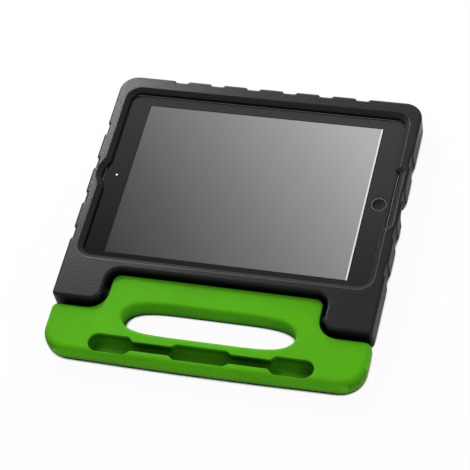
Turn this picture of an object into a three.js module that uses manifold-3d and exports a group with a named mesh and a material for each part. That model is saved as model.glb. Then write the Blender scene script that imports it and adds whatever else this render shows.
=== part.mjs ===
// Tablet case for children: a thick foam shell round a tablet, with a foam carry handle
// that turns on two plastic pins and folds back behind the case as a stand.
// Millimetres, +Z up. The case lies on its back, the handle points along -Y.
import * as THREE from 'three';
import { mergeVertices } from 'three/addons/utils/BufferGeometryUtils.js';
import Module from 'manifold-3d';

const wasm = await Module();
wasm.setup();

// Tablet
const tabletLength = 240;
const tabletWidth = 169.5;
const tabletThickness = 7.5;
const tabletCorner = 10;
const displayEndBorder = 21.45;
const displaySideBorder = 10.85;
const glassThickness = 1.1;
const glassBorder = 0.8;
const glassEdgeBevel = 0.2;
const housingFloor = 1;
const housingLedge = 3;
const housingBackRun = 4.5;
const housingBackRise = 3.3;
const displayBorder = 2;
const displayThickness = 2.2;
const displayStep = 0.4;
const batteryThickness = 2.3;
const batteryInset = 4;
const batterySplit = 2;
const batteryBevel = 0.5;
const partGap = 0.3;

// Tablet controls and sockets, with places measured from the tablet's edges or its centre
const homeRadius = 5.6;
const homeFromEnd = 10.6;
const homeFlange = 1;
const homeFlangeThickness = 0.6;
const homeDish = 0.5;
const homeTravel = 0.4;
const homeSwitchHalf = 3.4;
const homeDomeRadius = 2;
const homeDomeHeight = 0.4;
const sideButtonWidth = 2;
const sideButtonProud = 0.4;
const sideButtonDepth = 1.8;
const sideFlange = 0.8;
const sideFlangeThickness = 0.6;
const sideHeight = -3.9;
const powerLength = 10;
const powerFromEdge = 22.75;
const volumeLength = 9.5;
const volumeFromEnd = 43;
const volumePitch = 14;
const cameraFromEdge = 12;
const rearLensRadius = 3.3;
const rearLensSink = 0.05;
const rearCameraMargin = 1.2;
const rearCameraBelow = 0.6;
const frontCameraFromEnd = 11.5;
const frontCameraRadius = 2.2;
const frontCameraHalf = 3.2;
const frontCameraDepth = 3;
const frontCameraLens = 1;
const blockCorner = 0.8;
const chargeWidth = 9;
const chargeHeight = 2.6;
const chargeWall = 0.5;
const chargeLip = 1;
const chargeDepth = 5.4;
const chargeMiddle = -4.4;
const jackFromEdge = 22.5;
const jackRadius = 1.75;
const jackWall = 0.5;
const jackLength = 14;
const jackSink = 0.8;
const jackBottom = 1;
const speakerLength = 20;
const speakerWidth = 12;
const speakerHeight = 3.6;
const speakerRim = 2;
const speakerDip = 0.5;
const speakerCorner = 1.5;
const speakerFromCentre = 22;
const grilleRadius = 0.7;
const grillePitch = 2.6;
const grilleHoles = 6;
const boardLength = 48;
const boardFromMiddle = 32;
const boardThickness = 0.8;
const boardMargin = 1.5;
const chipLength = 18;
const chipFromMiddle = 11;
const chipHeight = 2.2;
const chipCorner = 0.6;

// Foam shell
const pocketClearance = 0.3;
const sideWall = 8.2;
const topWall = 14.6;
const frontWall = 5.65;
const backWall = 9.7;
const lipHeight = 2.75;
const lipOverlapSide = 3.5;
const lipOverlapTop = 0.2;
const lipOverlapFront = 4.5;
const rimChamferRise = 2.25;
const rimChamferRun = 4;
const shellCorner = 15;
const shellRimRound = 1.8;
const shellBackRound = 3.5;
const shellDraft = 0.3;
const windowCorner = 9;

// Grip notches round the shell
const topNotchCount = 6;
const topNotchPitch = 30.8;
const topNotchDepth = 1.9;
const sideNotchCount = 4;
const sideNotchPitch = 34.9;
const sideNotchDepth = 1.5;
const sideNotchShift = -9.9;
const notchFloor = 9.2;
const notchSlope = 1.6;

// Openings of the shell
const cameraReliefDepth = 3.8;
const cameraReliefFloor = 8;
const cameraReliefSlope = 9;
const portReliefDepth = 4.4;
const portReliefLength = 50;
const portReliefSlope = 4;
const portReliefShift = 4.8;
const portCutWidth = 17;
const portCutCorner = 4;
const portCutBelowGlass = 0.9;
const jackHoleRadius = 4;
const lensHoleRadius = 7;
const lensHoleFlare = 4.5;
const buttonReliefDepth = 1.2;
const buttonReliefMargin = 2;

// Ears and the recess between them
const earWidth = 39.2;
const earReach = 14.5;
const recessCorner = 11;
const earInnerCorner = 9;
const earOuterCorner = 3;

// Handle
const handleThickness = 16.1;
const handleDepth = 60.3;
const handleBow = 1.4;
const tabReach = 14.7;
const tabGap = 1.9;
const tabSideGap = 4;
const tabCorner = 7;
const tabNeckCorner = 15;
const wingGap = 3.8;
const wingTopCorner = 3;
const wingFrontCorner = 20;
const handleTopRound = 5.5;
const handleBackRound = 5;
const tabRound = 1.2;
const tabBackRound = 4.5;
const backBarWidth = 23.4;
const handHoleLength = 138.8;
const handHoleWidth = 26.9;
const handHoleRound = 3.2;
const handHoleSquareness = 6;

// Stylus groove in the handle
const grooveLength = 179.4;
const groovePocketWidth = 15.6;
const grooveNeckWidth = 8;
const endPocketLength = 31;
const middlePocketLength = 40;
const grooveSlope = 4;
const grooveFromFront = 11.7;
const grooveDepth = 8;
const grooveFloorRound = 3.4;
const middlePocketInset = 1;
const pocketCornerRadius = 2;
const neckCornerRadius = 1;

// Hinge
const pinRadius = 3.5;
const pinClearance = 0.3;
const pinLength = 9;
const anchorRadius = 5;
const anchorWaist = 3.8;
const anchorLength = 14;
const anchorBarbs = 3;
const pinTip = 0.5;
const shoulderRadius = 4.6;
const socketWall = 2.2;
const socketEnd = 1.5;

// Places that follow from the sizes, from the centre of the tablet's glass
const displayLength = tabletLength - 2 * displayEndBorder;
const displayWidth = tabletWidth - 2 * displaySideBorder;
const pocketHalfLength = tabletLength / 2 + pocketClearance;
const pocketHalfWidth = tabletWidth / 2 + pocketClearance;
const shellHalfLength = pocketHalfLength + sideWall;
const shellTop = pocketHalfWidth + topWall;
const shellFront = -pocketHalfWidth - frontWall;
const rimHeight = lipHeight + rimChamferRise;
const backHeight = -tabletThickness - pocketClearance - backWall;
const recessHalf = shellHalfLength - earWidth;
const hingeY = shellFront - tabGap - tabReach;
const hingeZ = backHeight + handleThickness / 2;
const earEnd = hingeY - earReach;
const handleTop = backHeight + handleThickness;
const tabHalf = recessHalf - tabSideGap;
const tabEnd = hingeY + tabReach;
const wingEdge = earEnd - wingGap;
const handleFront = hingeY - handleDepth;
const handHoleCentre = tabEnd - backBarWidth - handHoleWidth / 2;
const grooveCentre = handleFront + grooveFromFront;
const homeX = tabletLength / 2 - homeFromEnd;
const lensX = -tabletLength / 2 + cameraFromEdge;
const lensY = tabletWidth / 2 - cameraFromEdge;
const jackY = -tabletWidth / 2 + jackFromEdge;
const cavityFloor = -tabletThickness + housingFloor;
const seatHeight = -glassThickness - partGap;

// Rounding steps, and how far a cutting body reaches past the face it opens
const cutMargin = 2;
const sideCutMargin = 0.5;
const arcError = 0.03;
const fewestArcSteps = 3;
const edgeSteps = 4;
const bowSteps = 10;
const handHoleSteps = 44;
const smallestRadius = 0.05;

// How many straight steps a corner of a radius takes, to stay within arcError of the true arc
function arcSteps(radius, turn) {
  const step = 2 * Math.acos(1 - arcError / Math.max(radius, 4 * arcError));
  return Math.max(fewestArcSteps, Math.ceil(Math.abs(turn) / step));
}

// Outlines are lists of corners [x, y, radius], anticlockwise. This gives the points along one.
// The steps of each corner follow the radii of the outline that the list was moved in from.
function roundCorners(corners, source = corners) {
  const points = [];
  corners.forEach(([x, y, radius], i) => {
    const before = corners[(i + corners.length - 1) % corners.length];
    const after = corners[(i + 1) % corners.length];
    const corner = new THREE.Vector2(x, y);
    const toBefore = new THREE.Vector2(before[0], before[1]).sub(corner).normalize();
    const toAfter = new THREE.Vector2(after[0], after[1]).sub(corner).normalize();
    const half = Math.acos(THREE.MathUtils.clamp(toBefore.dot(toAfter), -1, 1)) / 2;
    if (!radius || half > Math.PI / 2 - 0.001) {
      points.push(corner);
      return;
    }
    const middle = toBefore.clone().add(toAfter).normalize();
    const centre = corner.clone().addScaledVector(middle, radius / Math.sin(half));
    const start = corner.clone().addScaledVector(toBefore, radius / Math.tan(half)).sub(centre);
    const turn = Math.sign(toAfter.cross(toBefore)) * (Math.PI - 2 * half);
    const steps = arcSteps(source[i][2], turn);
    for (let k = 0; k <= steps; k++) {
      points.push(start.clone().rotateAround(new THREE.Vector2(), turn * k / steps).add(centre));
    }
  });
  return points;
}

function rectangle(halfX, halfY, radius) {
  return [
    [-halfX, -halfY, radius],
    [halfX, -halfY, radius],
    [halfX, halfY, radius],
    [-halfX, halfY, radius],
  ];
}

// The corners moved in by a distance, or out where it is negative; an outer corner's radius shrinks.
// A corner marked soft starts an edge that has a distance of its own.
function moveIn(corners, distance, softDistance = distance) {
  return corners.map(([x, y, radius, soft], i) => {
    const before = corners[(i + corners.length - 1) % corners.length];
    const after = corners[(i + 1) % corners.length];
    const a = new THREE.Vector2(x - before[0], y - before[1]).normalize();
    const b = new THREE.Vector2(after[0] - x, after[1] - y).normalize();
    const moveA = before[3] ? softDistance : distance;
    const moveB = soft ? softDistance : distance;
    const middle = new THREE.Vector2(-a.y - b.y, a.x + b.x).normalize();
    const moved = middle.multiplyScalar(moveA / (middle.x * -a.y + middle.y * a.x));
    const turn = a.cross(b);
    if (moveA !== moveB) moved.addScaledVector(a, (moveA - moveB) / turn);
    const movedRadius = radius - Math.min(moveA, moveB) * Math.sign(turn);
    return [x + moved.x, y + moved.y, radius ? Math.max(smallestRadius, movedRadius) : 0];
  });
}

// A closed wall that follows an outline, from the bottom up. Each ring is [distance moved in, height],
// and the distance for its soft edges where that differs.
function stackRings(corners, rings) {
  const levels = rings.map(([inset, , softInset]) => {
    return roundCorners(moveIn(corners, inset, softInset), corners);
  });
  const position = [];
  levels.forEach((level, k) => level.forEach((p) => position.push(p.x, p.y, rings[k][1])));
  const count = levels[0].length;
  const index = [];
  for (let k = 0; k + 1 < rings.length; k++) {
    for (let i = 0; i < count; i++) {
      const a = k * count + i;
      const b = k * count + (i + 1) % count;
      index.push(a, b, b + count, a, b + count, a + count);
    }
  }
  const last = (rings.length - 1) * count;
  THREE.ShapeUtils.triangulateShape(levels[0], []).forEach(([a, b, c]) => index.push(a, c, b));
  THREE.ShapeUtils.triangulateShape(levels[rings.length - 1], [])
    .forEach(([a, b, c]) => index.push(last + a, last + b, last + c));
  const geometry = new THREE.BufferGeometry();
  geometry.setAttribute('position', new THREE.Float32BufferAttribute(position, 3));
  geometry.setIndex(index);
  return geometry;
}

// Rings of a body with round edges at the top and back, and a wall that draws in towards the back.
function roundedRings(low, high, backRound, topRound, draft = 0) {
  const steps = edgeSteps;
  const rings = [];
  const wallInset = (z) => draft * (high - z) / (high - low);
  for (let k = 0; k <= steps; k++) {
    const angle = Math.PI / 2 * k / steps;
    const z = low + backRound * (1 - Math.sin(angle));
    rings.unshift([backRound * (1 - Math.cos(angle)) + wallInset(z), z]);
  }
  for (let k = 0; k <= steps; k++) {
    const angle = Math.PI / 2 * k / steps;
    const z = high - topRound * (1 - Math.sin(angle));
    rings.push([topRound * (1 - Math.cos(angle)) + wallInset(z), z]);
  }
  return rings;
}

// Rings of a body whose soft edges have larger rounds than the others. Each list holds the round
// at the back and the one at the top.
function softRings(low, high, softRounds, otherRounds) {
  const heights = [low, high];
  for (const [backRound, topRound] of [softRounds, otherRounds]) {
    for (let k = 1; k <= edgeSteps; k++) {
      const share = 1 - Math.cos(Math.PI / 2 * k / edgeSteps);
      heights.push(low + backRound * share, high - topRound * share);
    }
  }
  const inset = (z, [back, top]) => {
    const backShare = Math.max(0, 1 - (z - low) / back);
    const topShare = Math.max(0, 1 - (high - z) / top);
    return back * (1 - Math.sqrt(1 - backShare ** 2)) + top * (1 - Math.sqrt(1 - topShare ** 2));
  };
  return heights.sort((a, b) => a - b)
    .map((z) => [inset(z, otherRounds), z, inset(z, softRounds)]);
}

// Solids
function solid(geometry) {
  const bare = geometry.clone();
  bare.deleteAttribute('normal');
  bare.deleteAttribute('uv');
  const merged = mergeVertices(bare, 1e-4);
  return new wasm.Manifold(new wasm.Mesh({
    numProp: 3,
    vertProperties: new Float32Array(merged.attributes.position.array),
    triVerts: new Uint32Array(merged.index.array),
  }));
}

function stack(corners, rings, x = 0, y = 0) {
  return solid(stackRings(corners, rings).translate(x, y, 0));
}

function block(x0, x1, y0, y1, z0, z1, radius = 0) {
  const outline = rectangle((x1 - x0) / 2, (y1 - y0) / 2, radius);
  return stack(outline, [[0, z0], [0, z1]], (x0 + x1) / 2, (y0 + y1) / 2);
}

// A turned piece: profile points are [radius, place along the axis], the axis along +X or -X.
function turned(profile, x, y, z, side, segments = 24) {
  const points = profile.map(([radius, along]) => new THREE.Vector2(radius, along));
  const geometry = new THREE.LatheGeometry(points, segments).rotateZ(-side * Math.PI / 2);
  return solid(geometry.translate(x, y, z));
}

function plug(radius, length) {
  return [[0, 0], [radius, 0], [radius, length], [0, length]];
}

// An upright cylinder, from its bottom to its top
function post(x, y, z0, z1, radius, lowerRadius = radius, segments = 24) {
  const geometry = new THREE.CylinderGeometry(radius, lowerRadius, z1 - z0, segments).rotateX(Math.PI / 2);
  return solid(geometry.translate(x, y, (z0 + z1) / 2));
}

// A bar across a side of the tablet: length along the side, height in Z, from inside to outside.
// The side is 'left' or 'right' (short sides) or 'top' (long side away from the handle).
function sideBar(side, along, z, length, height, inside, outside) {
  const radius = Math.min(height, length) / 2 - smallestRadius;
  const geometry = stackRings(rectangle(length / 2, height / 2, radius), [[0, inside], [0, outside]]);
  geometry.rotateX(Math.PI / 2);
  geometry.rotateZ(Math.PI);
  if (side === 'top') return solid(geometry.translate(along, 0, z));
  geometry.rotateZ(side === 'left' ? Math.PI / 2 : -Math.PI / 2);
  return solid(geometry.translate(0, along, z));
}

function sideEdge(side) {
  return side === 'top' ? tabletWidth / 2 : tabletLength / 2;
}

// Notched edges of the foam shell, as corners from the start of an edge to its end
function notches(count, pitch, shift, depth, place) {
  const corners = [];
  for (let i = 0; i < count; i++) {
    const middle = (i - (count - 1) / 2) * pitch + shift;
    const half = notchFloor / 2;
    [[-half - notchSlope, 0], [-half, depth], [half, depth], [half + notchSlope, 0]]
      .forEach(([along, inward]) => corners.push(place(middle + along, inward)));
  }
  return corners;
}

function shellOutline() {
  const right = notches(sideNotchCount, sideNotchPitch, sideNotchShift, sideNotchDepth,
    (along, inward) => [shellHalfLength - inward, along, 0]);
  const top = notches(topNotchCount, topNotchPitch, 0, topNotchDepth,
    (along, inward) => [-along, shellTop - inward, 0]);
  const left = right.map(([x, y]) => [-x, y, 0]).reverse();
  return [
    [-recessHalf, shellFront, recessCorner],
    [recessHalf, shellFront, recessCorner],
    [recessHalf, earEnd, earInnerCorner],
    [shellHalfLength, earEnd, earOuterCorner],
    ...right,
    [shellHalfLength, shellTop, shellCorner],
    ...top,
    [-shellHalfLength, shellTop, shellCorner],
    ...left,
    [-shellHalfLength, earEnd, earOuterCorner],
    [-recessHalf, earEnd, earInnerCorner],
  ];
}

// The window over the glass, with the reliefs beside the front camera and the charging socket
function windowOutline() {
  const halfLength = tabletLength / 2 - lipOverlapSide;
  const top = tabletWidth / 2 - lipOverlapTop;
  const front = -tabletWidth / 2 + lipOverlapFront;
  const portLow = portReliefShift - portReliefLength / 2;
  const portHigh = portReliefShift + portReliefLength / 2;
  const cameraHalf = cameraReliefFloor / 2;
  return [
    [-halfLength, front, windowCorner],
    [halfLength, front, windowCorner],
    [halfLength, portLow - portReliefSlope, 0],
    [halfLength + portReliefDepth, portLow, 0],
    [halfLength + portReliefDepth, portHigh, 0],
    [halfLength, portHigh + portReliefSlope, 0],
    [halfLength, top, windowCorner],
    [-halfLength, top, windowCorner],
    [-halfLength, cameraHalf + cameraReliefSlope, 0],
    [-halfLength - cameraReliefDepth, cameraHalf, 0],
    [-halfLength - cameraReliefDepth, -cameraHalf, 0],
    [-halfLength, -cameraHalf - cameraReliefSlope, 0],
  ];
}

const powerY = tabletWidth / 2 - powerFromEdge;
const volumeUpX = -tabletLength / 2 + volumeFromEnd - volumePitch / 2;
const volumeDownX = volumeUpX + volumePitch;
const sideButtons = [
  { name: 'power_button', side: 'left', along: powerY, length: powerLength },
  { name: 'volume_up_button', side: 'top', along: volumeUpX, length: volumeLength },
  { name: 'volume_down_button', side: 'top', along: volumeDownX, length: volumeLength },
];

// Foam shell: one moulding with the pocket, the lip that holds the tablet, and both ears
function caseShell() {
  const walls = roundedRings(backHeight, rimHeight, shellBackRound, shellRimRound, shellDraft);
  let shell = stack(shellOutline(), walls);
  const pocket = rectangle(pocketHalfLength, pocketHalfWidth, tabletCorner);
  shell = shell.subtract(stack(pocket, [[0, -tabletThickness - pocketClearance], [0, pocketClearance]]));
  shell = shell.subtract(stack(windowOutline(), [
    [0, 0],
    [0, lipHeight],
    [-rimChamferRun, rimHeight],
    [-rimChamferRun, rimHeight + cutMargin],
  ]));

  const portHalf = portCutWidth / 2;
  const portTop = -portCutBelowGlass;
  const portShape = [[-portHalf, backHeight - cutMargin, 0], [portHalf, backHeight - cutMargin, 0],
    [portHalf, portTop, portCutCorner], [-portHalf, portTop, portCutCorner]];
  const portCut = stackRings(portShape, [[0, 0], [0, sideWall + 2 * cutMargin]]);
  portCut.rotateX(Math.PI / 2);
  portCut.rotateZ(Math.PI / 2);
  shell = shell.subtract(solid(portCut.translate(pocketHalfLength - sideCutMargin, 0, 0)));

  const jackHole = plug(jackHoleRadius, sideWall + 2 * cutMargin);
  shell = shell.subtract(turned(jackHole, -pocketHalfLength + cutMargin, jackY, sideHeight, -1));
  shell = shell.subtract(post(lensX, lensY, backHeight - cutMargin, -tabletThickness,
    lensHoleRadius, lensHoleRadius + lensHoleFlare, 32));

  for (const { side, along, length } of sideButtons) {
    const wall = sideEdge(side) + pocketClearance;
    shell = shell.subtract(sideBar(side, along, sideHeight, length + 2 * buttonReliefMargin,
      sideButtonWidth + buttonReliefMargin, wall - sideCutMargin, wall + buttonReliefDepth));
  }

  const boreDepth = pinLength + socketEnd + 2 * partGap;
  const bore = plug(socketRadius() + partGap, boreDepth + cutMargin);
  for (const side of [-1, 1]) {
    shell = shell.subtract(turned(bore, side * (recessHalf - cutMargin), hingeY, hingeZ, side));
  }
  return shell;
}

// Hinge: a plastic socket set in each ear, and a pin whose barbed end is set in the handle
function socketRadius() {
  return pinRadius + pinClearance + socketWall;
}

function hingeSocket(side) {
  const bore = pinRadius + pinClearance;
  const boreDepth = pinLength + partGap;
  const length = boreDepth + socketEnd;
  return turned([[bore, 0], [socketRadius(), 0], [socketRadius(), length], [0, length], [0, boreDepth],
    [bore, boreDepth], [bore, 0]], side * recessHalf, hingeY, hingeZ, side);
}

function hingePin(side) {
  const start = -tabSideGap;
  const profile = [[0, start - anchorLength], [anchorWaist, start - anchorLength]];
  const barbPitch = anchorLength / anchorBarbs;
  for (let i = 0; i < anchorBarbs; i++) {
    const along = start - anchorLength + i * barbPitch;
    profile.push([anchorRadius, along + barbPitch * 0.6], [anchorRadius, along + barbPitch * 0.8],
      [anchorWaist, along + barbPitch * 0.8], [anchorWaist, along + barbPitch]);
  }
  profile.push([anchorWaist, start + partGap], [shoulderRadius, start + partGap],
    [shoulderRadius, -partGap], [pinRadius, -partGap],
    [pinRadius, pinLength - pinTip], [pinRadius - pinTip, pinLength], [0, pinLength]);
  return turned(profile, side * recessHalf, hingeY, hingeZ, side);
}

// Foam handle: one moulding with the hand hole, the stylus groove and the tab between the ears
function handleOutline() {
  const half = shellHalfLength;
  const bowEnd = handleFront + handleBow;
  const bowHalf = half - wingFrontCorner;
  const bow = [];
  for (let i = 1; i < bowSteps; i++) {
    const t = -1 + 2 * i / bowSteps;
    bow.push([t * bowHalf, handleFront + handleBow * t * t, 0, true]);
  }
  return [
    [-half, bowEnd, wingFrontCorner, true],
    ...bow,
    [half, bowEnd, wingFrontCorner, true],
    [half, wingEdge, wingTopCorner],
    [tabHalf, wingEdge, tabNeckCorner],
    [tabHalf, tabEnd, tabCorner],
    [-tabHalf, tabEnd, tabCorner],
    [-tabHalf, wingEdge, tabNeckCorner],
    [-half, wingEdge, wingTopCorner, true],
  ];
}

// The hand hole is a rounded oblong: its long sides are nearly straight and its ends full.
function handHoleOutline() {
  const points = [];
  for (let i = 0; i < handHoleSteps; i++) {
    const angle = 2 * Math.PI * (i + 0.5) / handHoleSteps;
    const c = Math.cos(angle);
    points.push([handHoleLength / 2 * Math.sign(c) * Math.abs(c) ** (2 / handHoleSquareness),
      handHoleWidth / 2 * Math.sin(angle), 0]);
  }
  return points;
}

function grooveOutline() {
  const end = grooveLength / 2;
  const wide = groovePocketWidth / 2;
  const neck = grooveNeckWidth / 2;
  const middle = middlePocketLength / 2;
  const pocketEnd = -end + endPocketLength;
  const left = [
    [-end, -wide, wide - smallestRadius],
    [pocketEnd, -wide, pocketCornerRadius],
    [pocketEnd + grooveSlope, -neck, neckCornerRadius],
    [-middle - grooveSlope, -neck, neckCornerRadius],
    [-middle, -wide + middlePocketInset, pocketCornerRadius],
  ];
  const right = left.map(([x, y, radius]) => [-x, y, radius]).reverse();
  const lower = [...left, ...right];
  const upper = lower.map(([x, y, radius]) => [x, -y, radius]).reverse();
  return [...lower, ...upper];
}

function carryHandle() {
  const rings = softRings(backHeight, handleTop, [handleBackRound, handleTopRound],
    [tabBackRound, tabRound]);
  let handle = stack(handleOutline(), rings);
  const holeRings = [];
  for (let k = 0; k <= edgeSteps; k++) {
    const angle = Math.PI / 2 * k / edgeSteps;
    const flare = handHoleRound * (1 - Math.sin(angle));
    holeRings.push([-flare, backHeight + handHoleRound * (1 - Math.cos(angle))]);
  }
  const upper = holeRings.map(([flare, z]) => [flare, backHeight + handleTop - z]).reverse();
  holeRings.unshift([-handHoleRound, backHeight - cutMargin]);
  holeRings.push(...upper, [-handHoleRound, handleTop + cutMargin]);
  handle = handle.subtract(stack(handHoleOutline(), holeRings, 0, handHoleCentre));

  const floor = handleTop - grooveDepth;
  const grooveRings = roundedRings(floor, handleTop + cutMargin, grooveFloorRound, 0);
  grooveRings.splice(edgeSteps + 2);
  handle = handle.subtract(stack(grooveOutline(), grooveRings, 0, grooveCentre));

  const bore = plug(anchorRadius + partGap, anchorLength + partGap + cutMargin);
  for (const side of [-1, 1]) {
    handle = handle.subtract(turned(bore, side * (tabHalf + cutMargin), hingeY, hingeZ, -side));
  }
  return handle;
}

// Tablet: metal tray, glass, display and what is inside
function tabletHousing() {
  const outline = rectangle(tabletLength / 2, tabletWidth / 2, tabletCorner);
  const rings = [];
  for (let k = 0; k <= edgeSteps; k++) {
    const angle = Math.PI / 2 * k / edgeSteps;
    const rise = housingBackRise * (1 - Math.cos(angle));
    rings.push([housingBackRun * (1 - Math.sin(angle)), -tabletThickness + rise]);
  }
  let housing = stack(outline, [...rings, [0, -glassBorder], [glassBorder / 2, -partGap]]);
  housing = housing.subtract(stack(outline, [[glassBorder, seatHeight], [glassBorder, cutMargin]]));
  housing = housing.subtract(stack(outline, [[housingLedge, cavityFloor], [housingLedge, cutMargin]]));
  const slotInside = tabletLength / 2 - housingLedge - cutMargin;
  housing = housing.subtract(sideBar('right', 0, chargeMiddle, chargeWidth, chargeHeight, slotInside,
    tabletLength / 2 + cutMargin));
  housing = housing.subtract(sideBar('right', 0, chargeMiddle, chargeWidth + 2 * (chargeWall + partGap),
    chargeHeight + 2 * (chargeWall + partGap), slotInside, tabletLength / 2 - chargeLip));
  const jackHole = plug(jackRadius + jackWall + partGap, housingLedge + 2 * cutMargin);
  const jackInside = -tabletLength / 2 + housingLedge + cutMargin;
  housing = housing.subtract(turned(jackHole, jackInside, jackY, sideHeight, -1));
  for (const { side, along, length } of sideButtons) {
    const edge = sideEdge(side);
    housing = housing.subtract(sideBar(side, along, sideHeight, length + 2 * partGap,
      sideButtonWidth + 2 * partGap, edge - housingLedge - cutMargin, edge + cutMargin));
    const flangeRoom = edge - sideButtonDepth + partGap;
    housing = housing.subtract(sideBar(side, along, sideHeight, length + 2 * sideFlange + 2 * partGap,
      sideButtonWidth + sideFlange + 2 * partGap, edge - housingLedge - cutMargin, flangeRoom));
  }
  for (const centre of [-speakerFromCentre, speakerFromCentre]) {
    for (let i = 0; i < grilleHoles; i++) {
      const hole = plug(grilleRadius, housingLedge + 2 * cutMargin);
      const along = centre + (i - (grilleHoles - 1) / 2) * grillePitch;
      housing = housing.subtract(turned(hole, slotInside, along, sideHeight, 1, 8));
    }
  }
  return housing.subtract(post(lensX, lensY, -tabletThickness - cutMargin, cavityFloor + cutMargin,
    rearLensRadius + partGap));
}

function coverGlass() {
  const outline = rectangle(tabletLength / 2, tabletWidth / 2, tabletCorner);
  const inset = glassBorder + partGap;
  const glass = stack(outline, [
    [inset, -glassThickness],
    [inset, -glassEdgeBevel],
    [inset + glassEdgeBevel, 0],
  ]);
  const holeRadius = homeRadius + partGap;
  return glass.subtract(post(homeX, 0, -glassThickness - cutMargin, cutMargin, holeRadius, holeRadius, 32));
}

// The home button has a dished face and a flange that keeps it under the glass.
function homeButton() {
  const flangeRadius = homeRadius + homeFlange;
  const bottom = seatHeight - homeFlangeThickness;
  const profile = [
    [0, -homeDish],
    [homeRadius * 0.55, -homeDish * 0.84],
    [homeRadius * 0.9, -homeDish * 0.3],
    [homeRadius, -homeDish * 0.2],
    [homeRadius, seatHeight],
    [flangeRadius, seatHeight],
    [flangeRadius, bottom],
    [0, bottom],
  ].map(([radius, z]) => new THREE.Vector2(radius, z));
  const geometry = new THREE.LatheGeometry(profile.reverse(), 32).rotateX(Math.PI / 2);
  return solid(geometry.translate(homeX, 0, 0));
}

function homeSwitch() {
  const top = seatHeight - homeFlangeThickness - partGap - homeTravel;
  const half = homeSwitchHalf;
  const bottom = cavityFloor + partGap;
  return block(homeX - half, homeX + half, -half, half, bottom, top - homeDomeHeight, blockCorner)
    .add(post(homeX, 0, top - 2 * homeDomeHeight, top, homeDomeRadius));
}

function sideButton({ side, along, length }) {
  const edge = sideEdge(side);
  const inner = edge - sideButtonDepth;
  const cap = sideBar(side, along, sideHeight, length, sideButtonWidth, inner, edge + sideButtonProud);
  const flange = sideBar(side, along, sideHeight, length + 2 * sideFlange, sideButtonWidth + sideFlange,
    inner - sideFlangeThickness, inner);
  return cap.add(flange);
}

function displayPanel() {
  const halfX = displayLength / 2 + displayBorder;
  const halfY = displayWidth / 2 + displayBorder;
  const outline = rectangle(halfX, halfY, blockCorner);
  return stack(outline, [
    [0, seatHeight - displayThickness],
    [0, seatHeight - displayStep],
    [displayStep, seatHeight - displayStep],
    [displayStep, seatHeight],
  ]);
}

function batteryCell(side) {
  const top = seatHeight - displayThickness - partGap;
  const bottom = top - batteryThickness;
  const halfX = (displayLength - batterySplit) / 4;
  return stack(rectangle(halfX, displayWidth / 2 - batteryInset, blockCorner), [
    [batteryBevel, bottom],
    [0, bottom + batteryBevel],
    [0, top - batteryBevel],
    [batteryBevel, top],
  ], side * (halfX + batterySplit / 2), 0);
}

function logicBoard() {
  const bottom = cavityFloor + partGap;
  const x0 = -tabletLength / 2 + housingLedge + partGap + boardMargin;
  const x1 = -displayLength / 2 - displayBorder - partGap;
  const y0 = boardFromMiddle - boardLength / 2;
  let board = block(x0, x1, y0, y0 + boardLength, bottom, bottom + boardThickness, blockCorner);
  for (const shift of [-chipFromMiddle, chipFromMiddle]) {
    const chipStart = boardFromMiddle + shift - chipLength / 2;
    board = board.add(block(x0 + boardMargin, x1 - boardMargin, chipStart, chipStart + chipLength,
      bottom + boardThickness / 2, bottom + chipHeight, chipCorner));
  }
  return board;
}

function frontCamera() {
  const x = -tabletLength / 2 + frontCameraFromEnd;
  const half = frontCameraHalf;
  const lensBottom = seatHeight - frontCameraLens;
  return block(x - half, x + half, -half, half, seatHeight - frontCameraDepth, lensBottom, blockCorner)
    .add(post(x, 0, lensBottom - frontCameraLens / 2, seatHeight, frontCameraRadius));
}

function rearCamera() {
  const half = rearLensRadius + rearCameraMargin;
  return block(lensX - half, lensX + half, lensY - half, lensY + half,
    cavityFloor + partGap, seatHeight - rearCameraBelow, blockCorner);
}

function rearLens() {
  const bottom = -tabletThickness + rearLensSink;
  return post(lensX, lensY, bottom, bottom + housingFloor, rearLensRadius);
}

function chargeSocket() {
  const outside = tabletLength / 2 - chargeLip - partGap;
  const inside = outside - chargeDepth;
  const body = sideBar('right', 0, chargeMiddle, chargeWidth + 2 * chargeWall,
    chargeHeight + 2 * chargeWall, inside, outside);
  return body.subtract(sideBar('right', 0, chargeMiddle, chargeWidth, chargeHeight, inside + chargeWall,
    outside + cutMargin));
}

function audioJack() {
  const outer = jackRadius + jackWall;
  return turned([[jackRadius, jackSink], [outer, jackSink], [outer, jackLength], [0, jackLength],
    [0, jackLength - jackBottom], [jackRadius, jackLength - jackBottom], [jackRadius, jackSink]],
  -tabletLength / 2, jackY, sideHeight, 1);
}

function speaker(side) {
  const x1 = tabletLength / 2 - housingLedge - partGap;
  const x0 = x1 - speakerWidth;
  const y0 = side * speakerFromCentre - speakerLength / 2;
  const y1 = y0 + speakerLength;
  const bottom = cavityFloor + partGap;
  const top = bottom + speakerHeight;
  return block(x0, x1, y0, y1, bottom, top, speakerCorner).subtract(block(x0 + speakerRim, x1 - speakerRim,
    y0 + speakerRim, y1 - speakerRim, top - speakerDip, top + cutMargin, speakerCorner));
}

// Materials
const finishes = {
  foam: { color: 0x2c2c30, roughness: 0.85, metalness: 0 },
  greenFoam: { color: 0x55ab20, roughness: 0.7, metalness: 0 },
  plastic: { color: 0x1c1c1e, roughness: 0.5, metalness: 0 },
  metal: { color: 0x6e7074, roughness: 0.35, metalness: 0.9 },
  glass: { color: 0x0b0b0c, roughness: 0.08, metalness: 0 },
  display: { color: 0x77767a, roughness: 0.3, metalness: 0 },
  battery: { color: 0x2a2a2c, roughness: 0.6, metalness: 0 },
  board: { color: 0x14532d, roughness: 0.6, metalness: 0 },
};

const tabletGroup = new THREE.Group();
const shellGroup = new THREE.Group();
const handleGroup = new THREE.Group();

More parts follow.
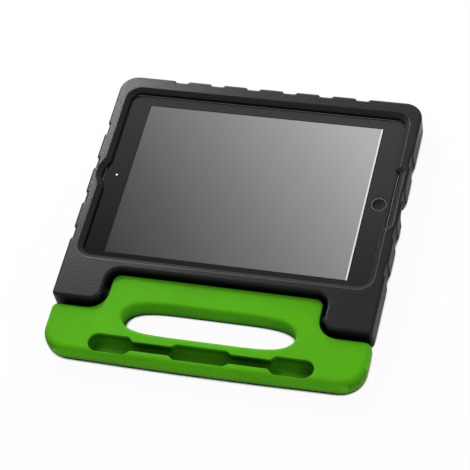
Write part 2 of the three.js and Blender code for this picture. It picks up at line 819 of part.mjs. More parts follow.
function addPiece(group, name, body, finish) {
  const { vertProperties, triVerts } = body.getMesh();
  const geometry = new THREE.BufferGeometry();
  geometry.setAttribute('position', new THREE.Float32BufferAttribute(vertProperties, 3));
  geometry.setIndex(Array.from(triVerts));
  geometry.computeVertexNormals();
  const mesh = new THREE.Mesh(geometry, new THREE.MeshStandardMaterial(finishes[finish]));
  mesh.name = name;
  group.add(mesh);
}

addPiece(shellGroup, 'case_shell', caseShell(), 'foam');
addPiece(shellGroup, 'hinge_socket_left', hingeSocket(-1), 'plastic');
addPiece(shellGroup, 'hinge_socket_right', hingeSocket(1), 'plastic');
addPiece(handleGroup, 'carry_handle', carryHandle(), 'greenFoam');
addPiece(handleGroup, 'hinge_pin_left', hingePin(-1), 'plastic');
addPiece(handleGroup, 'hinge_pin_right', hingePin(1), 'plastic');
addPiece(tabletGroup, 'tablet_housing', tabletHousing(), 'metal');
addPiece(tabletGroup, 'cover_glass', coverGlass(), 'glass');
addPiece(tabletGroup, 'display_panel', displayPanel(), 'display');
addPiece(tabletGroup, 'battery_cell_left', batteryCell(-1), 'battery');
addPiece(tabletGroup, 'battery_cell_right', batteryCell(1), 'battery');
addPiece(tabletGroup, 'logic_board', logicBoard(), 'board');
addPiece(tabletGroup, 'front_camera', frontCamera(), 'plastic');
addPiece(tabletGroup, 'rear_camera', rearCamera(), 'plastic');
addPiece(tabletGroup, 'rear_lens', rearLens(), 'glass');
addPiece(tabletGroup, 'charge_socket', chargeSocket(), 'metal');
addPiece(tabletGroup, 'audio_jack', audioJack(), 'metal');
addPiece(tabletGroup, 'speaker_front', speaker(-1), 'plastic');
addPiece(tabletGroup, 'speaker_back', speaker(1), 'plastic');
addPiece(tabletGroup, 'home_switch', homeSwitch(), 'plastic');
addPiece(tabletGroup, 'home_button', homeButton(), 'plastic');
for (const button of sideButtons) addPiece(tabletGroup, button.name, sideButton(button), 'metal');

// The row's origin is under the middle of the whole case, on the surface that it lies on.
const part = new THREE.Group();
part.add(shellGroup, handleGroup, tabletGroup);
part.position.set(0, -(shellTop + handleFront) / 2, -backHeight);
part.updateMatrixWorld(true);

export default part;
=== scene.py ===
import bpy
from mathutils import Matrix, Vector


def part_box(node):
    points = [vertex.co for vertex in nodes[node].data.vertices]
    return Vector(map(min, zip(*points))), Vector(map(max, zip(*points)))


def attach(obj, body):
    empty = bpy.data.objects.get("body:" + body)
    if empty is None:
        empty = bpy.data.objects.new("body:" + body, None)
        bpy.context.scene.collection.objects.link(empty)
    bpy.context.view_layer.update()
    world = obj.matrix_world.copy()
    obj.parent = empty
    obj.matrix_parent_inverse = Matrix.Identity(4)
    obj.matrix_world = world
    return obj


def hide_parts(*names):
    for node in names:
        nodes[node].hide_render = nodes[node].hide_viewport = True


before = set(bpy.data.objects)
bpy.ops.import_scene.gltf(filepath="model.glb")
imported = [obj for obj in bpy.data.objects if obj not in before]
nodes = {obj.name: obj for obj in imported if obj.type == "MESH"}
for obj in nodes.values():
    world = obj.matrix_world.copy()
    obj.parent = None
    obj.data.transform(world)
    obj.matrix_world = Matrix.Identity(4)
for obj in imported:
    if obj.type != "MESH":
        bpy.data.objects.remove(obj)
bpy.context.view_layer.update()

# Camera: stands in front of the handle and to the right of the case, and looks down at the
# glass at about 54 degrees, from so far away that the sides stay nearly parallel.
camera_place = Vector((0.39183, -0.861275, 1.31638))
camera_right = Vector((0.96339909, 0.22923274, -0.13897676))
camera_up = Vector((-0.11210833, 0.8154443, 0.56787527))
camera_back = Vector((0.24350341, -0.53151007, 0.81129719))
bpy.ops.object.camera_add(location=(0, 0, 0))
camera = bpy.context.object
camera.name = "camera"
camera.data.lens = 155.04
camera.data.sensor_width = 36
camera.matrix_world = Matrix((
    (camera_right.x, camera_up.x, camera_back.x, camera_place.x),
    (camera_right.y, camera_up.y, camera_back.y, camera_place.y),
    (camera_right.z, camera_up.z, camera_back.z, camera_place.z),
    (0, 0, 0, 1),
))
bpy.context.scene.camera = camera
bpy.context.scene.view_settings.view_transform = "Standard"


# Lamps: three soft discs. A small one stands behind the left corner of the case and lights the
# rim of the foam, a large one stands far behind it, and one stands at the right.
def area_lamp(name, place, aim, size, power):
    bpy.ops.object.light_add(type="AREA", location=place)
    lamp = bpy.context.object
    lamp.name = name
    lamp.data.shape = "DISK"
    lamp.data.size = size
    lamp.data.energy = power
    lamp.rotation_euler = (Vector(aim) - Vector(place)).to_track_quat("-Z", "Y").to_euler()


area_lamp("lamp_key", place=(-0.49, 0.62, 0.65), aim=(0, 0.02, 0), size=0.16, power=5.2)
area_lamp("lamp_back", place=(-0.5, 1.7, 0.9), aim=(0, 0, 0), size=0.8, power=12)
area_lamp("lamp_right", place=(1.5, -0.3, 0.7), aim=(0, 0, 0), size=0.6, power=5)


# Surround: plain white to the camera and through clear things. As a light it is weaker, and a
# little stronger from behind the case than from the front.
def feed(tree, socket, value):
    if isinstance(value, tuple):
        socket.default_value = (*value, 1)
    elif isinstance(value, (int, float)):
        socket.default_value = value
    else:
        tree.links.new(value, socket)


def chain(tree, operation, first, second=None, third=None):
    node = tree.nodes.new("ShaderNodeMath")
    node.operation = operation
    for socket, value in zip(node.inputs, (first, second, third)):
        if value is not None:
            feed(tree, socket, value)
    return node.outputs[0]


def spread(tree, value, from_low, from_high, to_low=0, to_high=1):
    node = tree.nodes.new("ShaderNodeMapRange")
    names = ("Value", "From Min", "From Max", "To Min", "To Max")
    for name, given_value in zip(names, (value, from_low, from_high, to_low, to_high)):
        feed(tree, node.inputs[name], given_value)
    return node.outputs[0]


front_strength = 0.44
back_strength = 0.6
white = (1, 1, 1)
surround = bpy.data.worlds.new("studio_surround")
bpy.context.scene.world = surround
surround.use_nodes = True
tree = surround.node_tree
tree.nodes.clear()
direction = tree.nodes.new("ShaderNodeTexCoord")
direction_parts = tree.nodes.new("ShaderNodeSeparateXYZ")
tree.links.new(direction.outputs["Generated"], direction_parts.inputs[0])
soft_light = tree.nodes.new("ShaderNodeBackground")
feed(tree, soft_light.inputs["Color"], white)
feed(tree, soft_light.inputs["Strength"],
    spread(tree, direction_parts.outputs["Y"], -0.7, 0.9, front_strength, back_strength))
white_light = tree.nodes.new("ShaderNodeBackground")
feed(tree, white_light.inputs["Color"], white)
white_light.inputs["Strength"].default_value = 1.0
ray_kind = tree.nodes.new("ShaderNodeLightPath")
seen = chain(tree, "MAXIMUM", ray_kind.outputs["Is Camera Ray"], ray_kind.outputs["Is Transmission Ray"])
surround_mix = tree.nodes.new("ShaderNodeMixShader")
surround_out = tree.nodes.new("ShaderNodeOutputWorld")
tree.links.new(seen, surround_mix.inputs[0])
tree.links.new(soft_light.outputs[0], surround_mix.inputs[1])
tree.links.new(white_light.outputs[0], surround_mix.inputs[2])
tree.links.new(surround_mix.outputs[0], surround_out.inputs[0])


# Floor: pale matt paper. It is nearly white to the camera and keeps the shadow of the case. Where
# pieces of foam stand close on all sides, as in the gaps round the handle, its colour is painted
# dark as painted shade.
def layer(tree, mask, below, above):
    mix = tree.nodes.new("ShaderNodeMix")
    mix.data_type = "RGBA"
    feed(tree, mix.inputs["Factor"], mask)
    feed(tree, mix.inputs["A"], below)
    feed(tree, mix.inputs["B"], above)
    return mix.outputs["Result"]


# How open a point is to what stands round it; it sets where shade is painted into colours below.
def openness(tree, samples, distance, shut, free):
    reach = tree.nodes.new("ShaderNodeAmbientOcclusion")
    reach.samples = samples
    reach.inputs["Distance"].default_value = distance
    return spread(tree, reach.outputs["AO"], shut, free)


floor_radius = 6
floor_drop = 0.0004
white_share = 0.94
bpy.ops.mesh.primitive_circle_add(
    vertices=96, radius=floor_radius, fill_type="NGON", location=(0, 0, -floor_drop))
floor = bpy.context.object
floor.name = "floor"
floor_paint = bpy.data.materials.new("floor_paint")
floor_paint.use_nodes = True
tree = floor_paint.node_tree
paper = tree.nodes["Principled BSDF"]
paper.inputs["Roughness"].default_value = 0.9
paper.inputs["Specular IOR Level"].default_value = 0.0
floor_open = openness(tree, samples=16, distance=0.009, shut=0.38, free=0.5)
# Painted shade: the paper's colour turns near black where the foam shuts it in.
feed(tree, paper.inputs["Base Color"], layer(tree, floor_open, (0.02, 0.02, 0.02), (0.93, 0.93, 0.93)))
ray_kind = tree.nodes.new("ShaderNodeLightPath")
seen = chain(tree, "MULTIPLY", ray_kind.outputs["Is Camera Ray"], floor_open)
glow = tree.nodes.new("ShaderNodeEmission")
glow.inputs["Strength"].default_value = 1.0
floor_mix = tree.nodes.new("ShaderNodeMixShader")
tree.links.new(chain(tree, "MULTIPLY", seen, white_share), floor_mix.inputs[0])
tree.links.new(paper.outputs[0], floor_mix.inputs[1])
tree.links.new(glow.outputs[0], floor_mix.inputs[2])
tree.links.new(floor_mix.outputs[0], tree.nodes["Material Output"].inputs["Surface"])
floor.data.materials.append(floor_paint)


# Foam grain: moulded closed-cell foam has a satin skin with fine pits and a slightly cloudy colour.
# Its edges are painted paler: partly rubbed wear and partly a painted highlight on the rounded
# edges. It is shared by the shell and the handle.
def open_group(name, inputs, outputs):
    group = bpy.data.node_groups.new(name, "ShaderNodeTree")
    for way, sockets in (("INPUT", inputs), ("OUTPUT", outputs)):
        for socket_name, kind in sockets:
            group.interface.new_socket(socket_name, in_out=way, socket_type="NodeSocket" + kind)
    return group, group.nodes.new("NodeGroupInput").outputs, group.nodes.new("NodeGroupOutput").inputs


def noise(tree, place, scale, detail):
    node = tree.nodes.new("ShaderNodeTexNoise")
    node.inputs["Detail"].default_value = detail
    feed(tree, node.inputs["Vector"], place)
    feed(tree, node.inputs["Scale"], scale)
    return node.outputs["Fac"]


def bump(tree, distance, strength, height):
    node = tree.nodes.new("ShaderNodeBump")
    node.inputs["Distance"].default_value = distance
    feed(tree, node.inputs["Strength"], strength)
    feed(tree, node.inputs["Height"], height)
    return node.outputs[0]


def scaled(tree, colour, factor):
    node = tree.nodes.new("ShaderNodeVectorMath")
    node.operation = "SCALE"
    feed(tree, node.inputs[0], colour)
    feed(tree, node.inputs["Scale"], factor)
    return node.outputs[0]


def foam_grain_group():
    group, given, result = open_group(
        "foam_grain",
        [("Colour", "Color"), ("Rubbed And Highlight Colour", "Color"), ("Cell Size", "Float"), ("Depth", "Float")],
        [("Colour", "Color"), ("Roughness", "Float"), ("Normal", "Vector")])
    place = group.nodes.new("ShaderNodeTexCoord").outputs["Object"]
    cells = group.nodes.new("ShaderNodeTexVoronoi")
    cells.feature = "SMOOTH_F1"
    feed(group, cells.inputs["Vector"], place)
    feed(group, cells.inputs["Scale"], chain(group, "DIVIDE", 1.0, given["Cell Size"]))
    pits = cells.outputs["Distance"]
    fine = noise(group, place, scale=2600, detail=3)
    skin_height = chain(group, "MULTIPLY_ADD", fine, 0.45, pits)
    feed(group, result["Normal"], bump(group, 0.0002, given["Depth"], skin_height))

    cloud_shade = spread(group, noise(group, place, scale=28, detail=4), 0.3, 0.7, 0.93, 1.05)
    pit_shade = spread(group, pits, 0.1, 0.7, 0.9, 1.08)
    shaded = scaled(group, given["Colour"], chain(group, "MULTIPLY", cloud_shade, pit_shade))
    shape = group.nodes.new("ShaderNodeNewGeometry")
    # Paler edges: rubbed wear and a painted highlight where the rounded edges catch the light.
    rubbed_and_highlit_edge = spread(group, shape.outputs["Pointiness"], 0.53, 0.66, 0, 0.6)
    feed(group, result["Colour"], layer(group, rubbed_and_highlit_edge, shaded, given["Rubbed And Highlight Colour"]))
    feed(group, result["Roughness"], spread(group, fine, 0, 1, 0.27, 0.37))
    return group


foam_grain = foam_grain_group()


# Foam material: the grain above, with its colour painted towards the shade colour where other foam shuts
# a point in: painted shade in gaps, grooves and hollows.
def foam_material(name, colour, rubbed_and_highlight, painted_shade_colour, reach, shut, free, cell_size, depth, gloss):
    material = bpy.data.materials.new(name)
    material.use_nodes = True
    tree = material.node_tree
    shader = tree.nodes["Principled BSDF"]
    grain = tree.nodes.new("ShaderNodeGroup")
    grain.node_tree = foam_grain
    feed(tree, grain.inputs["Colour"], colour)
    feed(tree, grain.inputs["Rubbed And Highlight Colour"], rubbed_and_highlight)
    feed(tree, grain.inputs["Cell Size"], cell_size)
    feed(tree, grain.inputs["Depth"], depth)
    open_share = openness(tree, samples=8, distance=reach, shut=shut, free=free)
    feed(tree, shader.inputs["Base Color"], layer(tree, open_share, painted_shade_colour, grain.outputs["Colour"]))
    feed(tree, shader.inputs["Roughness"], grain.outputs["Roughness"])
    feed(tree, shader.inputs["Normal"], grain.outputs["Normal"])
    shader.inputs["Specular IOR Level"].default_value = gloss
    return material


# Foam shell: one block of black foam, moulded with soft edges round the pocket that grips the
# tablet. It starts from the solid of the case, whose facets are melted into one soft skin.
def soft_skin(node, name, voxel, rounds, share):
    piece = nodes[node].copy()
    piece.data = nodes[node].data.copy()
    piece.name = name
    piece.parent = None
    for key in list(piece.keys()):
        del piece[key]
    bpy.context.scene.collection.objects.link(piece)
    piece.data.materials.clear()
    bpy.ops.object.select_all(action="DESELECT")
    piece.select_set(True)
    bpy.context.view_layer.objects.active = piece
    bpy.ops.object.mode_set(mode="EDIT")
    bpy.ops.mesh.select_all(action="SELECT")
    bpy.ops.mesh.remove_doubles(threshold=0.000005)
    bpy.ops.object.mode_set(mode="OBJECT")
    melt = piece.modifiers.new("melt", "REMESH")
    melt.mode = "VOXEL"
    melt.voxel_size = voxel
    bpy.ops.object.modifier_apply(modifier="melt")
    relax = piece.modifiers.new("relax", "SMOOTH")
    relax.factor = 0.5
    relax.iterations = rounds
    bpy.ops.object.modifier_apply(modifier="relax")
    thin = piece.modifiers.new("thin", "DECIMATE")
    thin.ratio = share
    bpy.ops.object.modifier_apply(modifier="thin")
    bpy.ops.object.shade_smooth()
    return piece


shell = soft_skin("case_shell", "foam_shell", voxel=0.0005, rounds=3, share=0.15)
# The black foam is painted near black in its gaps and hollows as painted shade.
shell.data.materials.append(foam_material(
    "black_foam", colour=(0.0105, 0.0103, 0.0113), rubbed_and_highlight=(0.038, 0.038, 0.041),
    painted_shade_colour=(0.0006, 0.0005, 0.0006), reach=0.006, shut=0.40, free=0.80, cell_size=0.0009, depth=0.32,
    gloss=0.20))
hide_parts("case_shell")
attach(shell, "case")


# Carry handle: bright green foam, moulded with the hand hole and the groove for a stylus. It is
# pushed over the barbed ends of the two hinge pins. Inside the groove the colour is painted darker,
# the deeper down the more, as painted shade.
def from_middle(tree, middle):
    place = tree.nodes.new("ShaderNodeTexCoord")
    centred = tree.nodes.new("ShaderNodeMapping")
    centred.inputs["Location"].default_value = (-middle[0], -middle[1], -middle[2])
    tree.links.new(place.outputs["Object"], centred.inputs["Vector"])
    split = tree.nodes.new("ShaderNodeSeparateXYZ")
    tree.links.new(centred.outputs[0], split.inputs[0])
    return split.outputs


def clamped(tree, value, low, high):
    return chain(tree, "MINIMUM", chain(tree, "MAXIMUM", value, low), high)


def within(tree, value, half_width):
    return chain(tree, "LESS_THAN", chain(tree, "ABSOLUTE", value), half_width)


def paint_over(material, mask, colour):
    tree = material.node_tree
    base = tree.nodes["Principled BSDF"].inputs["Base Color"]
    feed(tree, base, layer(tree, mask, base.links[0].from_socket, colour))


groove_from_front = 0.0117
groove_half_width = 0.0083
groove_depth = 0.0088
groove_fade = -150
groove_start = -0.1
groove_shade_share = 0.45
handle = soft_skin("carry_handle", "foam_handle", voxel=0.0005, rounds=3, share=0.22)
# The green foam is painted deep green in its gaps and hollows as painted shade.
green_foam = foam_material(
    "green_foam", colour=(0.094, 0.425, 0.0085), rubbed_and_highlight=(0.165, 0.510, 0.040),
    painted_shade_colour=(0.006, 0.050, 0.0010), reach=0.012, shut=0.40, free=0.88, cell_size=0.0006, depth=0.2,
    gloss=0.03)
handle_low, handle_high = (Vector(corner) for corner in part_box("carry_handle"))
tree = green_foam.node_tree
place = from_middle(tree, (0, handle_low.y + groove_from_front, handle_high.z))
in_line = within(tree, place["Y"], groove_half_width)
above_floor = chain(tree, "GREATER_THAN", place["Z"], -groove_depth)
sunk_shade = clamped(tree, chain(tree, "MULTIPLY_ADD", place["Z"], groove_fade, groove_start), 0, groove_shade_share)
groove_shade_mask = chain(tree, "MULTIPLY", sunk_shade, chain(tree, "MULTIPLY", in_line, above_floor))
# Painted shade: the groove's floor and walls are painted deep green.
paint_over(green_foam, groove_shade_mask, (0.004, 0.045, 0.0010))
handle.data.materials.append(green_foam)
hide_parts("carry_handle")
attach(handle, "handle")


# Cover glass: one polished sheet. Its back is printed black round the display; this black border is
# painted lighter towards the back right as a painted reflection. The display shows through as a
# smooth grey field that is lighter towards the far right corner: this grey is a painted reflection.
# A thin painted highlight runs along the right edge of the display, and a clear spot with a painted
# glint marks the front camera. The outer edge of the sheet is painted black as painted shade under
# the foam rim.
def ring_distance(tree, x, y):
    return chain(tree, "SQRT", chain(tree, "ADD", chain(tree, "POWER", x, 2), chain(tree, "POWER", y, 2)))


def slope(tree, place, middle, per_x, per_y):
    along_x = chain(tree, "MULTIPLY_ADD", place["X"], per_x, middle)
    return chain(tree, "ADD", along_x, chain(tree, "MULTIPLY", place["Y"], per_y))


def ramp(tree, value, stops):
    fade = tree.nodes.new("ShaderNodeValToRGB")
    elements = fade.color_ramp.elements
    for element, (position, colour) in zip(elements, (stops[0], stops[-1])):
        element.position = position
        element.color = (*colour, 1)
    for position, colour in stops[1:-1]:
        elements.new(position).color = (*colour, 1)
    tree.links.new(value, fade.inputs[0])
    return fade.outputs[0]


def beyond(tree, place, half_x, half_y):
    past_x = chain(tree, "SUBTRACT", chain(tree, "ABSOLUTE", place["X"]), half_x)
    past_y = chain(tree, "SUBTRACT", chain(tree, "ABSOLUTE", place["Y"]), half_y)
    return chain(tree, "MAXIMUM", past_x, past_y)


def spot(tree, place, x, y, radius):
    from_x = chain(tree, "SUBTRACT", place["X"], x)
    from_y = chain(tree, "SUBTRACT", place["Y"], y)
    return chain(tree, "LESS_THAN", ring_distance(tree, from_x, from_y), radius)


display_half_x = 0.09855
display_half_y = 0.0739
pale_highlight_half_width = 0.0006
shade_half_width = 0.0004
edge_shade_width = 0.0008
camera_x = -0.1085
camera_y = 0.0008
camera_radius = 0.0016
glint_radius = 0.0009
glint_left = 0.0004
glint_up = 0.0001
glass_low, glass_high = (Vector(corner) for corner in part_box("cover_glass"))
glass_middle = (glass_low + glass_high) / 2
glass_finish = bpy.data.materials.new("glass_over_display")
glass_finish.use_nodes = True
tree = glass_finish.node_tree
shader = tree.nodes["Principled BSDF"]
place = from_middle(tree, glass_middle)
outside = beyond(tree, place, display_half_x, display_half_y)
# Painted reflection: the grey of the display, a ramp that grows lighter towards the far right corner.
display_reflection_tone = ramp(tree, slope(tree, place, middle=0.53, per_x=3.4, per_y=2.5), [
    (0.0, (0.034, 0.033, 0.035)), (0.25, (0.090, 0.089, 0.091)), (0.5, (0.174, 0.173, 0.176)),
    (0.75, (0.283, 0.283, 0.287)), (1.0, (0.420, 0.420, 0.425))])
# Painted reflection: the black border, a little lighter towards the back right.
border_reflection_tone = ramp(tree, slope(tree, place, middle=0.5, per_x=1.2, per_y=3.3), [
    (0.14, (0.0005, 0.0004, 0.0004)), (1.0, (0.046, 0.044, 0.045))])
tone = layer(tree, chain(tree, "GREATER_THAN", outside, 0), display_reflection_tone, border_reflection_tone)
# Painted highlight: a thin pale line along the right edge of the display.
from_right = chain(tree, "SUBTRACT", place["X"], display_half_x - pale_highlight_half_width)
beside_display = within(tree, place["Y"], display_half_y)
pale_highlight_line = chain(tree, "MULTIPLY", within(tree, from_right, pale_highlight_half_width), beside_display)
tone = layer(tree, pale_highlight_line, tone, (0.80, 0.80, 0.80))
shade_line = within(tree, chain(tree, "SUBTRACT", outside, shade_half_width), shade_half_width)
tone = layer(tree, shade_line, tone, (0.004, 0.004, 0.004))
camera_spot = spot(tree, place, camera_x, camera_y, camera_radius)
tone = layer(tree, camera_spot, tone, (0.002, 0.002, 0.002))
# Painted glint on the front camera.
glint = spot(tree, place, camera_x - glint_left, camera_y + glint_up, glint_radius)
tone = layer(tree, glint, tone, (0.95, 0.95, 0.97))
glass_half = (glass_high - glass_low) / 2
# Painted shade: the outer edge of the glass is painted near black, where the foam rim shades it.
edge_painted_shade = chain(tree, "GREATER_THAN", beyond(tree, place, glass_half.x, glass_half.y), -edge_shade_width)
feed(tree, shader.inputs["Base Color"], layer(tree, edge_painted_shade, tone, (0.0005, 0.0005, 0.0005)))
surface = tree.nodes["Texture Coordinate"].outputs["Object"]
smears = spread(tree, noise(tree, surface, scale=18, detail=5), 0, 1, 0.03, 0.07)
feed(tree, shader.inputs["Roughness"], smears)
shader.inputs["IOR"].default_value = 1.5
shader.inputs["Specular IOR Level"].default_value = 0.3
nodes["cover_glass"].material_slots[0].material = glass_finish


# Tablet housing: a tray milled from aluminium, blasted and anodised dark; its colour is darkened to
# near black as painted shade for the gap round the glass. Its rim is cut to a thin bevel of bare
# metal, painted pale as a painted highlight, that frames the glass. The fine finish used here is
# shared by all the hard pieces: a grain, a slight mottle and edges rubbed paler by use.
def fine_finish_group():
    group, given, result = open_group(
        "fine_finish",
        [("Colour", "Color"), ("Worn Colour", "Color"), ("Grain Scale", "Float"),
            ("Grain Depth", "Float"), ("Smoothest", "Float"), ("Roughest", "Float")],
        [("Colour", "Color"), ("Roughness", "Float"), ("Normal", "Vector")])
    place = group.nodes.new("ShaderNodeTexCoord").outputs["Object"]
    grain = noise(group, place, given["Grain Scale"], detail=4)
    feed(group, result["Normal"], bump(group, 0.00005, given["Grain Depth"], grain))
    roughness = spread(group, grain, 0.3, 0.7, given["Smoothest"], given["Roughest"])
    feed(group, result["Roughness"], roughness)
    mottle = spread(group, noise(group, place, scale=90, detail=3), 0, 1, 0.9, 1.1)
    shape = group.nodes.new("ShaderNodeNewGeometry")
    worn_edge = spread(group, shape.outputs["Pointiness"], 0.54, 0.7, 0, 0.7)
    mottled = scaled(group, given["Colour"], mottle)
    feed(group, result["Colour"], layer(group, worn_edge, mottled, given["Worn Colour"]))
    return group


fine_finish = fine_finish_group()


def hard_material(name, colour, worn, grain_scale, grain_depth, smoothest, roughest, metallic=0.0):
    material = bpy.data.materials.new(name)
    material.use_nodes = True
    tree = material.node_tree
    shader = tree.nodes["Principled BSDF"]
    skin = tree.nodes.new("ShaderNodeGroup")
    skin.node_tree = fine_finish
    values = (colour, worn, grain_scale, grain_depth, smoothest, roughest)
    for socket, value in zip(skin.inputs, values):
        feed(tree, socket, value)
    feed(tree, shader.inputs["Base Color"], skin.outputs["Colour"])
    feed(tree, shader.inputs["Roughness"], skin.outputs["Roughness"])
    feed(tree, shader.inputs["Normal"], skin.outputs["Normal"])
    shader.inputs["Metallic"].default_value = metallic
    return material


def wear(names, material):
    for name in names:
        nodes[name].material_slots[0].material = material


bevel_width = 0.00062
bevel_depth = 0.0009
# Painted shade: the housing's colour is near black so the gap round the glass reads dark.
housing = hard_material(
    "anodised_housing", colour=(0.0030, 0.0030, 0.0034), worn=(0.012, 0.012, 0.013),
    grain_scale=2400, grain_depth=0.3, smoothest=0.4, roughest=0.5)
tree = housing.node_tree
tree.nodes["Principled BSDF"].inputs["Specular IOR Level"].default_value = 0.1
place = from_middle(tree, glass_middle)
near_glass = chain(tree, "LESS_THAN", beyond(tree, place, glass_half.x, glass_half.y), bevel_width)
bevel = chain(tree, "MULTIPLY", near_glass, chain(tree, "GREATER_THAN", place["Z"], -bevel_depth))
# Painted highlight: the thin bevel round the glass is painted pale.
paint_over(housing, bevel, (0.40, 0.40, 0.41))
wear(["tablet_housing"], housing)


# Home button: a smooth black disc, slightly dished so that a finger finds it. Its middle is painted
# paler as a painted reflection in the dish. It presses a switch under the glass.
def middle_of(name):
    low, high = (Vector(corner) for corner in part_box(name))
    return (low + high) / 2


dish_fade = -1600
dish_start = 7.6
button_middle = middle_of("home_button")
button_finish = hard_material(
    "home_button_gloss", colour=(0.0004, 0.0004, 0.0004), worn=(0.001, 0.001, 0.001),
    grain_scale=3000, grain_depth=0.05, smoothest=0.4, roughest=0.5)
tree = button_finish.node_tree
place = from_middle(tree, button_middle)
from_centre = ring_distance(tree, place["X"], place["Y"])
dish_sheen = clamped(tree, chain(tree, "MULTIPLY_ADD", from_centre, dish_fade, dish_start), 0, 1)
# Painted reflection: the middle of the dish is painted paler.
paint_over(button_finish, dish_sheen, (0.008, 0.0065, 0.009))
tree.nodes["Principled BSDF"].inputs["Specular IOR Level"].default_value = 0.1
wear(["home_button"], button_finish)

# Ring of the home button: a thin pale band set in the hole of the glass round the button, with its
# upper edge just under the surface. Its pale colour is a painted highlight on the edge of the hole.
ring_radius = 0.00577
ring_wall = 0.0002
ring_base = 0.0008
ring_height = 0.00079
bpy.ops.object.select_all(action="DESELECT")
bpy.ops.mesh.primitive_circle_add(
    vertices=64, radius=ring_radius, fill_type="NOTHING",
    location=(button_middle.x, button_middle.y, glass_high.z - ring_base))
ring = bpy.context.object
ring.name = "home_button_highlight_ring"
bpy.ops.object.mode_set(mode="EDIT")
bpy.ops.mesh.select_all(action="SELECT")
bpy.ops.mesh.extrude_region_move(TRANSFORM_OT_translate={"value": (0, 0, ring_height)})
bpy.ops.object.mode_set(mode="OBJECT")
bpy.ops.object.transform_apply(location=True, rotation=True, scale=True)
wall = ring.modifiers.new("wall", "SOLIDIFY")
wall.thickness = ring_wall
wall.offset = 0
bpy.ops.object.modifier_apply(modifier="wall")
soft_edge = ring.modifiers.new("soft_edge", "BEVEL")
soft_edge.width = ring_wall / 4
soft_edge.segments = 2
bpy.ops.object.modifier_apply(modifier="soft_edge")
bpy.ops.object.shade_smooth()
# Painted highlight: the ring is pale so the edge of the hole shows light.
ring.data.materials.append(hard_material(
    "home_ring_painted_highlight", colour=(0.42, 0.42, 0.43), worn=(0.5, 0.5, 0.51),
    grain_scale=3000, grain_depth=0.1, smoothest=0.25, roughest=0.35))
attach(ring, "case")

# Side buttons: small bars of anodised aluminium with a fine blasted grain, set in the long and
# short sides of the tablet under the foam.
button_metal = hard_material(
    "button_aluminium", colour=(0.30, 0.31, 0.33), worn=(0.55, 0.56, 0.58),
    grain_scale=1800, grain_depth=0.3, smoothest=0.28, roughest=0.4, metallic=0.95)
wear(["power_button", "volume_up_button", "volume_down_button"], button_metal)

# Hinge pins and their sockets: hard black plastic from a mould, satin, with paler edges where
# they rub. The sockets sit in the ears of the shell and the pins in the handle.
hinge_plastic = hard_material(
    "hinge_plastic_black", colour=(0.006, 0.006, 0.0065), worn=(0.03, 0.03, 0.03),
    grain_scale=1600, grain_depth=0.35, smoothest=0.38, roughest=0.55)
wear(["hinge_pin_left", "hinge_pin_right", "hinge_socket_left", "hinge_socket_right"], hinge_plastic)

# Display: a stack of film and glass in a thin frame, dull grey, with faint rows of pixels. It
# lies right behind the cover glass.
row_radians_per_metre = 24000
display_finish = hard_material(
    "display_stack", colour=(0.18, 0.18, 0.185), worn=(0.28, 0.28, 0.29),
    grain_scale=5000, grain_depth=0.1, smoothest=0.2, roughest=0.35)
tree = display_finish.node_tree
place = from_middle(tree, glass_middle)
rows = chain(tree, "SINE", chain(tree, "MULTIPLY", place["Y"], row_radians_per_metre))
paint_over(display_finish, chain(tree, "MULTIPLY_ADD", rows, 0.15, 0.15), (0.08, 0.08, 0.09))
wear(["display_panel"], display_finish)

# Battery cells: soft packs in black film, with a dull yellow tape across the middle of each.
# They are glued to the floor of the housing.
tape_half_width = 0.006
for name in ("battery_cell_left", "battery_cell_right"):
    film = hard_material(
        name + "_film", colour=(0.012, 0.012, 0.013), worn=(0.04, 0.04, 0.04),
        grain_scale=700, grain_depth=0.6, smoothest=0.3, roughest=0.5)
    place = from_middle(film.node_tree, middle_of(name))
    paint_over(film, within(film.node_tree, place["Y"], tape_half_width), (0.09, 0.085, 0.03))
    wear([name], film)

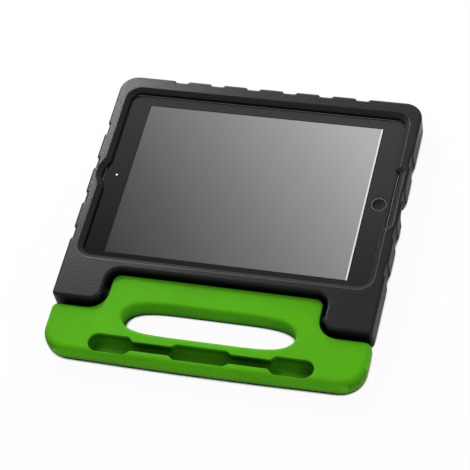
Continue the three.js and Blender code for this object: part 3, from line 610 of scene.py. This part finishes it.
# Logic board: glass fibre under green lacquer, with paler tracks that wind across it. What
# stands above the board, such as the chips, is black.
track_radians_per_metre = 5200
wind_radians_per_metre = 900
board_thickness = 0.0009
board_finish = hard_material(
    "board_lacquer", colour=(0.010, 0.075, 0.028), worn=(0.35, 0.24, 0.06),
    grain_scale=1500, grain_depth=0.3, smoothest=0.25, roughest=0.4)
tree = board_finish.node_tree
place = from_middle(tree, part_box("logic_board")[0])
winding = chain(tree, "SINE", chain(tree, "MULTIPLY", place["X"], wind_radians_per_metre))
shift = chain(tree, "MULTIPLY", winding, 2.0)
waves = chain(tree, "SINE", chain(tree, "MULTIPLY_ADD", place["Y"], track_radians_per_metre, shift))
paint_over(board_finish, chain(tree, "GREATER_THAN", waves, 0.6), (0.05, 0.16, 0.05))
chips = chain(tree, "GREATER_THAN", place["Z"], board_thickness)
paint_over(board_finish, chips, (0.012, 0.012, 0.013))
wear(["logic_board"], board_finish)

# Cameras: black moulded blocks, fixed to the housing. The rear one looks out through a round
# lens of dark glass with faint rings round its middle.
camera_plastic = hard_material(
    "camera_black", colour=(0.005, 0.005, 0.0055), worn=(0.02, 0.02, 0.02),
    grain_scale=2200, grain_depth=0.2, smoothest=0.3, roughest=0.45)
wear(["front_camera", "rear_camera"], camera_plastic)
ring_radians_per_metre = 5600
lens_glass = hard_material(
    "rear_lens_glass", colour=(0.004, 0.005, 0.009), worn=(0.02, 0.02, 0.03),
    grain_scale=3000, grain_depth=0.02, smoothest=0.03, roughest=0.06)
tree = lens_glass.node_tree
place = from_middle(tree, middle_of("rear_lens"))
from_centre = ring_distance(tree, place["X"], place["Y"])
waves = chain(tree, "SINE", chain(tree, "MULTIPLY", from_centre, ring_radians_per_metre))
paint_over(lens_glass, chain(tree, "GREATER_THAN", waves, 0.75), (0.03, 0.03, 0.045))
wear(["rear_lens"], lens_glass)

# Sockets: pressed from bright steel with a fine grain. One takes the charging plug and the
# other takes the headphone plug.
socket_steel = hard_material(
    "socket_steel", colour=(0.52, 0.52, 0.54), worn=(0.70, 0.70, 0.72),
    grain_scale=1400, grain_depth=0.5, smoothest=0.22, roughest=0.38, metallic=1.0)
wear(["charge_socket", "audio_jack"], socket_steel)

# Speakers and the home switch: black nylon cases with a fine matt grain, fixed inside the
# housing.
nylon = hard_material(
    "inner_nylon", colour=(0.009, 0.009, 0.010), worn=(0.03, 0.03, 0.03),
    grain_scale=1900, grain_depth=0.6, smoothest=0.5, roughest=0.7)
wear(["speaker_front", "speaker_back", "home_switch"], nylon)

# The carried-over pieces keep their flat faces crisp and their round walls smooth.
smooth_angle = 0.6
for node in nodes.values():
    if node.hide_render:
        continue
    bpy.ops.object.select_all(action="DESELECT")
    node.select_set(True)
    bpy.context.view_layer.objects.active = node
    bpy.ops.object.shade_smooth_by_angle(angle=smooth_angle)
